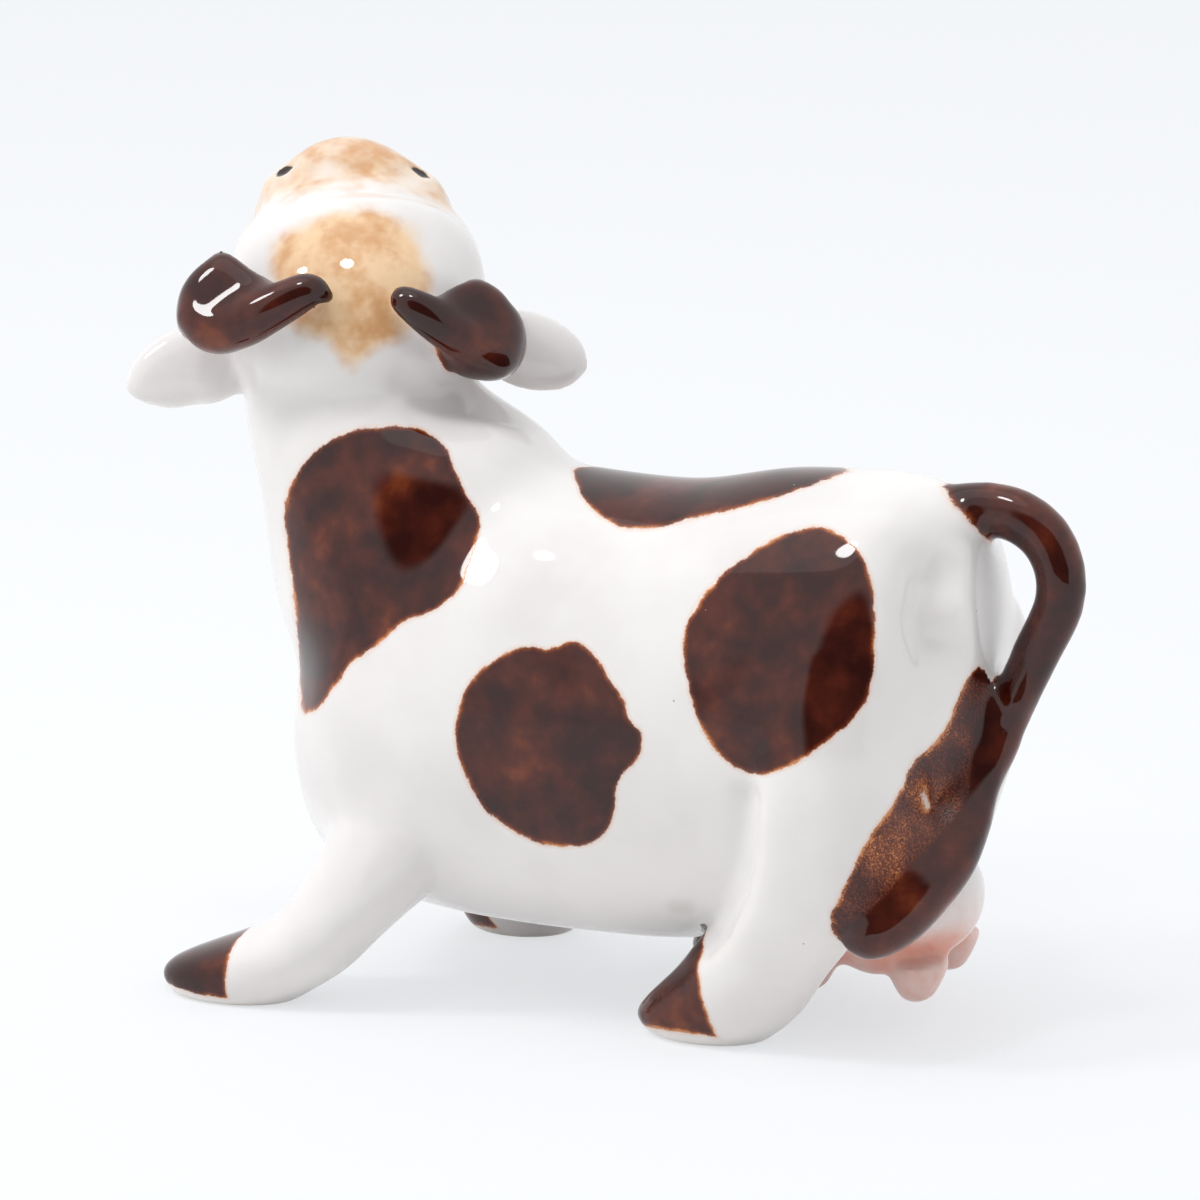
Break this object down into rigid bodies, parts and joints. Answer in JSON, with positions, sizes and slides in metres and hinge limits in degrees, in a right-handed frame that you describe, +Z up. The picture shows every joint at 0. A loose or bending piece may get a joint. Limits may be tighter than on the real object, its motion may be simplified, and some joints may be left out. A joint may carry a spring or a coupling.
{
  "type": "cow figurine",
  "caption": "Small glazed ceramic cow, walking with its head raised and turned back, to stand on a shelf as an ornament.",
  "frame": {"origin": "on the surface that the cow stands on, under the middle of its bounding box", "axes": "+Z up, the cow's body faces -Y, the cow's own left side is +X"},
  "size_m": [0.0288, 0.0659, 0.0555],
  "materials": {
    "white_glaze": "high gloss",
    "tan_glaze": "high gloss",
    "brown_glaze": "high gloss",
    "pink_glaze": "high gloss"
  },
  "bodies": {
    "root": {"torso": "white_glaze", "neck": "white_glaze", "head": "white_glaze", "muzzle": "tan_glaze", "horn_left": "brown_glaze", "horn_right": "brown_glaze", "ear_left": "white_glaze", "ear_right": "white_glaze", "foreleg_left": "white_glaze", "foreleg_right": "white_glaze", "hind_leg_left": "white_glaze", "hind_leg_right": "white_glaze", "udder": "pink_glaze", "teat_front_left": "pink_glaze", "teat_front_right": "pink_glaze", "teat_rear_left": "pink_glaze", "teat_rear_right": "pink_glaze", "tail": "brown_glaze", "tail_brush": "brown_glaze"}
  },
  "joints": []
}
